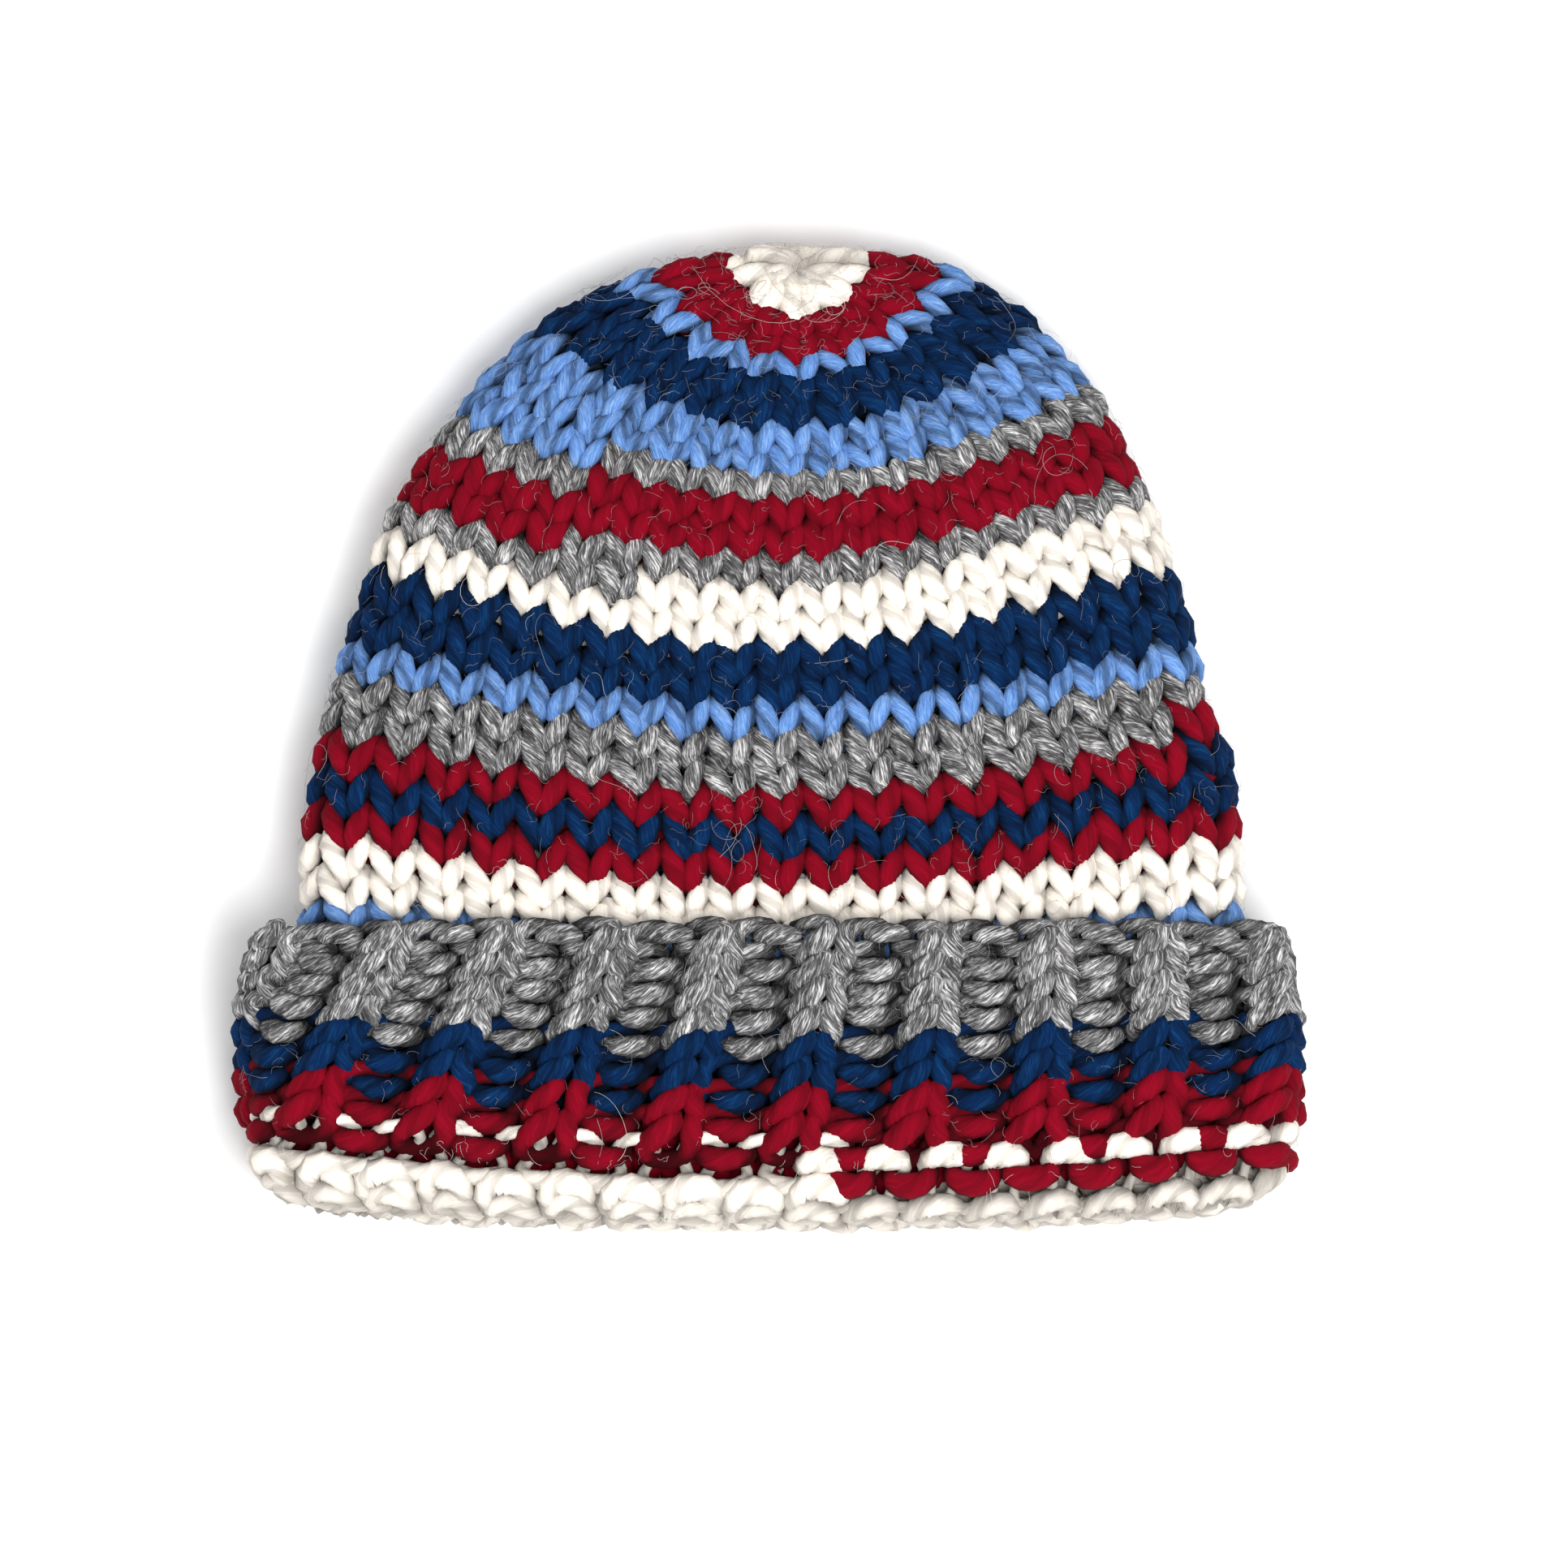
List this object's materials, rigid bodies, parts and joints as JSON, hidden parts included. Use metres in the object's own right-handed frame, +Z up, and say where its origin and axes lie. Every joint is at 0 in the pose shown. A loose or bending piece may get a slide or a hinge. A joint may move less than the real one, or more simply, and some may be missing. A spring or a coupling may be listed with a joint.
{
  "type": "beanie",
  "caption": "Thick hand-knitted striped beanie with a turned-up ribbed cuff, lying flat on its back, hollow and open at the brim.",
  "frame": {"origin": "middle of the outline box, on the surface that the hat lies on", "axes": "+X across the hat's width, +Y from the brim to the crown, +Z up from the surface, out of the hat's front"},
  "size_m": [0.2452, 0.2352, 0.0512],
  "materials": {
    "yarn_light_blue": "thick two-ply wool yarn, light blue, matt and slightly fuzzy",
    "yarn_navy": "thick two-ply wool yarn, dark navy, matt and fuzzy",
    "yarn_red": "thick soft wool yarn, crimson, matt and fuzzy",
    "yarn_gray": "thick two-ply wool yarn, heathered light and dark gray, matt and fuzzy",
    "yarn_white": "thick soft wool yarn, creamy white, matt and fuzzy"
  },
  "bodies": {
    "root": {"body_stripe_01_light_blue": "yarn_light_blue", "body_stripe_02_white": "yarn_white", "body_stripe_03_red": "yarn_red", "body_stripe_04_navy": "yarn_navy", "body_stripe_05_red": "yarn_red", "body_stripe_06_gray": "yarn_gray", "body_stripe_07_light_blue": "yarn_light_blue", "body_stripe_08_navy": "yarn_navy", "body_stripe_09_white": "yarn_white", "body_stripe_10_gray": "yarn_gray", "body_stripe_11_red": "yarn_red", "body_stripe_12_gray": "yarn_gray", "crown_stripe_13_light_blue": "yarn_light_blue", "crown_stripe_14_navy": "yarn_navy", "crown_stripe_15_light_blue": "yarn_light_blue", "crown_stripe_16_red": "yarn_red", "crown_tip_white": "yarn_white", "inner_stripe_red": "yarn_red", "inner_stripe_navy": "yarn_navy", "inner_stripe_gray": "yarn_gray", "cuff_rib_gray": "yarn_gray", "cuff_rib_navy": "yarn_navy", "cuff_rib_red": "yarn_red", "cuff_cast_on_edge": "yarn_gray", "cuff_fold_white": "yarn_white"}
  },
  "joints": []
}
